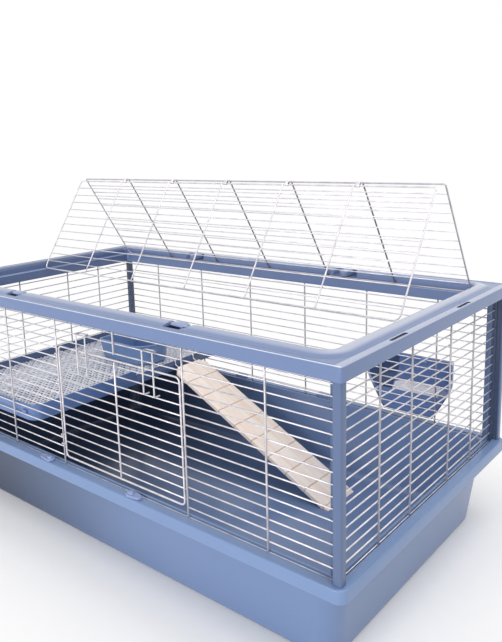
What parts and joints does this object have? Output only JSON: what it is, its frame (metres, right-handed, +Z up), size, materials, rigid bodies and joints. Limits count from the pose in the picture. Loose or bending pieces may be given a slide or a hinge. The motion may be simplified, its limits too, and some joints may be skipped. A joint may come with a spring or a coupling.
{
  "type": "rodent cage",
  "caption": "Long wire cage for small rodents: deep plastic tray, corner posts, moulded top frame, folding wire lid, front door, platform with ramp, bowl and hay rack.",
  "frame": {"origin": "middle of the tray's flat underside", "axes": "+X along the length to the right, +Y to the back, away from the door, +Z up"},
  "size_m": [1.008, 0.6241, 0.6274],
  "materials": {
    "tray_plastic": "satin",
    "frame_plastic": "satin",
    "latch_plastic": "gloss",
    "fitting_plastic": "satin",
    "bowl_plastic": "satin",
    "ramp_wood": "matt",
    "clip_steel": "satin",
    "zinc_wire": "bright zinc"
  },
  "bodies": {
    "cage": {"base_tray": "tray_plastic", "corner_post_front_left": "frame_plastic", "corner_post_front_right": "frame_plastic", "corner_post_rear_left": "frame_plastic", "corner_post_rear_right": "frame_plastic", "top_frame": "frame_plastic", "front_wire_wall": "zinc_wire", "rear_wire_wall": "zinc_wire", "left_wire_wall": "zinc_wire", "right_wire_wall": "zinc_wire", "platform_frame": "fitting_plastic", "platform_mesh": "zinc_wire"},
    "lid_rear": {"lid_rear_panel": "zinc_wire"},
    "lid_front": {"lid_front_panel": "zinc_wire", "lid_clips": "clip_steel"},
    "door": {"front_door": "zinc_wire", "door_hinge_rings": "zinc_wire"},
    "door_latch_left": {"door_latch_left": "zinc_wire"},
    "door_latch_right": {"door_latch_right": "zinc_wire"},
    "ramp": {"ramp_board": "ramp_wood", "ramp_hooks": "zinc_wire"},
    "food_bowl": {"food_bowl": "bowl_plastic"},
    "hay_rack": {"hay_rack": "fitting_plastic"},
    "turn_latch_front_left": {"turn_latch_front_left": "latch_plastic"},
    "turn_latch_front_right": {"turn_latch_front_right": "latch_plastic"},
    "turn_latch_rear_left": {"turn_latch_rear_left": "latch_plastic"},
    "turn_latch_rear_right": {"turn_latch_rear_right": "latch_plastic"},
    "tray_latch_front_left": {"tray_latch_front_left": "latch_plastic"},
    "tray_latch_front_right": {"tray_latch_front_right": "latch_plastic"},
    "tray_latch_rear_left": {"tray_latch_rear_left": "latch_plastic"},
    "tray_latch_rear_right": {"tray_latch_rear_right": "latch_plastic"}
  },
  "joints": [
    {"name": "lid_hinge", "type": "hinge", "parent": "cage", "child": "lid_rear", "pos_m": [0, 0.2325, 0.4287], "axis": [-1, 0, 0], "range_deg": [-57.5, 15]},
    {"name": "lid_fold", "type": "hinge", "parent": "lid_rear", "child": "lid_front", "pos_m": [0, 0.10758, 0.62479], "axis": [-1, 0, 0], "range_deg": [-30, 115]},
    {"name": "door_swing", "type": "hinge", "parent": "cage", "child": "door", "pos_m": [-0.075, -0.2678, 0.262], "axis": [0, 0, -1], "range_deg": [0, 110]},
    {"name": "door_latch_left_lift", "type": "slide", "parent": "door", "child": "door_latch_left", "axis": [0, 0, 1], "range_m": [0, 0.01]},
    {"name": "door_latch_right_lift", "type": "slide", "parent": "door", "child": "door_latch_right", "axis": [0, 0, 1], "range_m": [0, 0.01]},
    {"name": "ramp_lift", "type": "hinge", "parent": "cage", "child": "ramp", "pos_m": [-0.1715, 0.1375, 0.21955], "axis": [0, -1, 0], "range_deg": [0, 45]},
    {"name": "bowl_lift", "type": "slide", "parent": "cage", "child": "food_bowl", "axis": [0, 0, 1], "range_m": [0, 0.08]},
    {"name": "hay_rack_lift", "type": "slide", "parent": "cage", "child": "hay_rack", "axis": [0, 0, 1], "range_m": [0, 0.01]},
    {"name": "turn_latch_front_left_turn", "type": "hinge", "parent": "cage", "child": "turn_latch_front_left", "pos_m": [-0.193, -0.25, 0.431], "axis": [0, 0, -1], "range_deg": [0, 90]},
    {"name": "turn_latch_front_right_turn", "type": "hinge", "parent": "cage", "child": "turn_latch_front_right", "pos_m": [0.216, -0.25, 0.431], "axis": [0, 0, -1], "range_deg": [0, 90]},
    {"name": "turn_latch_rear_left_turn", "type": "hinge", "parent": "cage", "child": "turn_latch_rear_left", "pos_m": [-0.216, 0.25, 0.431], "axis": [0, 0, -1], "range_deg": [0, 90]},
    {"name": "turn_latch_rear_right_turn", "type": "hinge", "parent": "cage", "child": "turn_latch_rear_right", "pos_m": [0.193, 0.25, 0.431], "axis": [0, 0, -1], "range_deg": [0, 90]},
    {"name": "tray_latch_front_left_turn", "type": "hinge", "parent": "cage", "child": "tray_latch_front_left", "pos_m": [-0.106, -0.2775, 0.15], "axis": [0, 0, -1], "range_deg": [0, 90]},
    {"name": "tray_latch_front_right_turn", "type": "hinge", "parent": "cage", "child": "tray_latch_front_right", "pos_m": [0.106, -0.2775, 0.15], "axis": [0, 0, 1], "range_deg": [0, 90]},
    {"name": "tray_latch_rear_left_turn", "type": "hinge", "parent": "cage", "child": "tray_latch_rear_left", "pos_m": [-0.106, 0.2775, 0.15], "axis": [0, 0, 1], "range_deg": [0, 90]},
    {"name": "tray_latch_rear_right_turn", "type": "hinge", "parent": "cage", "child": "tray_latch_rear_right", "pos_m": [0.106, 0.2775, 0.15], "axis": [0, 0, -1], "range_deg": [0, 90]}
  ],
  "couplings": [
    {"joint": "lid_fold", "follows": "lid_hinge", "ratio": -2}
  ]
}
